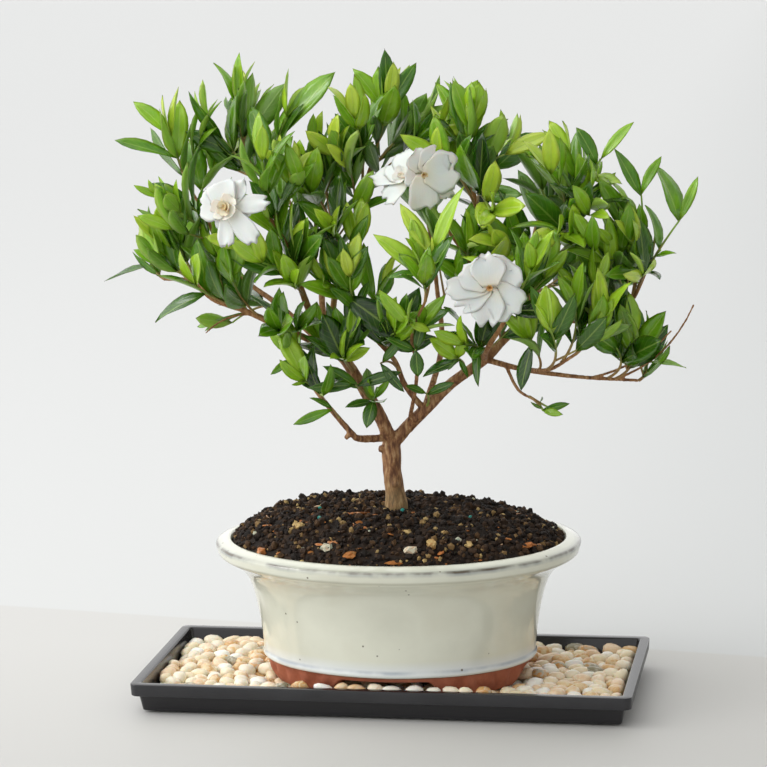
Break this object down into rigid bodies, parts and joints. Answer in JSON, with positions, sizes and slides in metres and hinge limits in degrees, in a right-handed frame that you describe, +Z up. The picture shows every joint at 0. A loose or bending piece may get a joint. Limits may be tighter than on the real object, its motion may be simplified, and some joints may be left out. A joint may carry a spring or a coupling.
{
  "type": "potted gardenia",
  "caption": "Gardenia grown as a small flowering tree in an oval cream-glazed pot with bare clay feet, standing on pebbles in a low black tray.",
  "frame": {"origin": "on the table, under the middle of the tray", "axes": "+X along the tray to the viewer's right, +Y away from the viewer across the tray, +Z up"},
  "size_m": [0.3337, 0.2072, 0.3616],
  "materials": {
    "tray_plastic": "moulded black plastic, glossy on the rim and inner walls, duller outside",
    "pebble_stone": "washed river pebbles in cream, tan, peach and white, satin",
    "cream_glaze": "glossy cream-celadon glaze with fine dark specks, brown where it breaks over the rim, bare terracotta on the foot ring",
    "potting_soil": "damp dark potting mix of bark crumbs, peat and tan grit, matt",
    "bark": "grey-brown bark with fine furrows, greener on young twigs",
    "leaf_green": "glossy evergreen leaves, bright green when young and dark when old, pale midrib",
    "petal_white": "soft white petals, creamy at the heart, satin"
  },
  "bodies": {
    "root": {"tray": "tray_plastic", "pebbles": "pebble_stone", "pot": "cream_glaze", "soil": "potting_soil", "trunk": "bark", "shoot_far_left_top": "leaf_green", "shoot_left_rise_side": "leaf_green", "shoot_left_crest": "leaf_green", "shoot_left_peak": "leaf_green", "shoot_left_spire": "leaf_green", "shoot_left_face": "leaf_green", "shoot_left_inner": "leaf_green", "shoot_left_inner_front": "leaf_green", "shoot_left_inner_back": "leaf_green", "shoot_left_back_top": "leaf_green", "shoot_left_back_side": "leaf_green", "shoot_left_fan": "leaf_green", "shoot_left_end": "leaf_green", "shoot_left_under": "leaf_green", "shoot_left_under_back": "leaf_green", "shoot_left_heart": "leaf_green", "shoot_left_drop": "leaf_green", "shoot_low_left_end": "leaf_green", "shoot_low_left_side": "leaf_green", "shoot_crotch_left": "leaf_green", "shoot_crotch_drop": "leaf_green", "shoot_crown": "leaf_green", "shoot_crown_left": "leaf_green", "shoot_crown_right": "leaf_green", "shoot_lean_end": "leaf_green", "shoot_lean_side": "leaf_green", "shoot_new_growth": "leaf_green", "shoot_right_peak": "leaf_green", "shoot_right_peak_front": "leaf_green", "shoot_right_peak_back": "leaf_green", "shoot_crest_right": "leaf_green", "shoot_crest_front": "leaf_green", "shoot_crest_outer": "leaf_green", "shoot_far_right_rise": "leaf_green", "shoot_far_right_top": "leaf_green", "shoot_far_right_front": "leaf_green", "shoot_right_shelf": "leaf_green", "shoot_right_low_end": "leaf_green", "shoot_right_low_rise": "leaf_green", "shoot_right_face": "leaf_green", "shoot_right_skirt": "leaf_green", "shoot_right_skirt_outer": "leaf_green", "shoot_hanging_end": "leaf_green", "shoot_right_heart": "leaf_green", "shoot_back_right": "leaf_green", "shoot_back_right_low": "leaf_green", "shoot_back_mid": "leaf_green", "shoot_back_mid_low": "leaf_green", "bloom_left": "petal_white", "bloom_centre_back": "petal_white", "bloom_centre_front": "petal_white", "bloom_right": "petal_white"}
  },
  "joints": []
}
